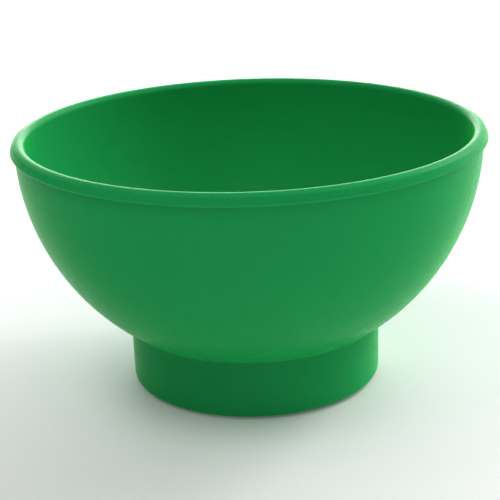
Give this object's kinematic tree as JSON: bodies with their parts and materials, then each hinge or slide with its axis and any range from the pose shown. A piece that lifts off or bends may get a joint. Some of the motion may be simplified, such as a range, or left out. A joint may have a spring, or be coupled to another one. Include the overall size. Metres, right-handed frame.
{
  "type": "footed mixing bowl",
  "caption": "Small round-bottomed mixing bowl with a beaded rim, on a separate foot ring with a soft non-slip base ring.",
  "frame": {"origin": "centre of the ring that the bowl stands on, at table height", "axes": "+Z is the bowl's axis and points up out of the open mouth; +X and +Y lie in the table's plane and are interchangeable, because the bowl is round"},
  "size_m": [0.15, 0.15, 0.083],
  "materials": {
    "shell_plastic": "satin moulded green plastic",
    "foot_plastic": "satin moulded green plastic",
    "grip_rubber": "matt dark green soft rubber"
  },
  "bodies": {
    "root": {"bowl_shell": "shell_plastic", "foot_ring": "foot_plastic", "base_grip_ring": "grip_rubber"}
  },
  "joints": []
}
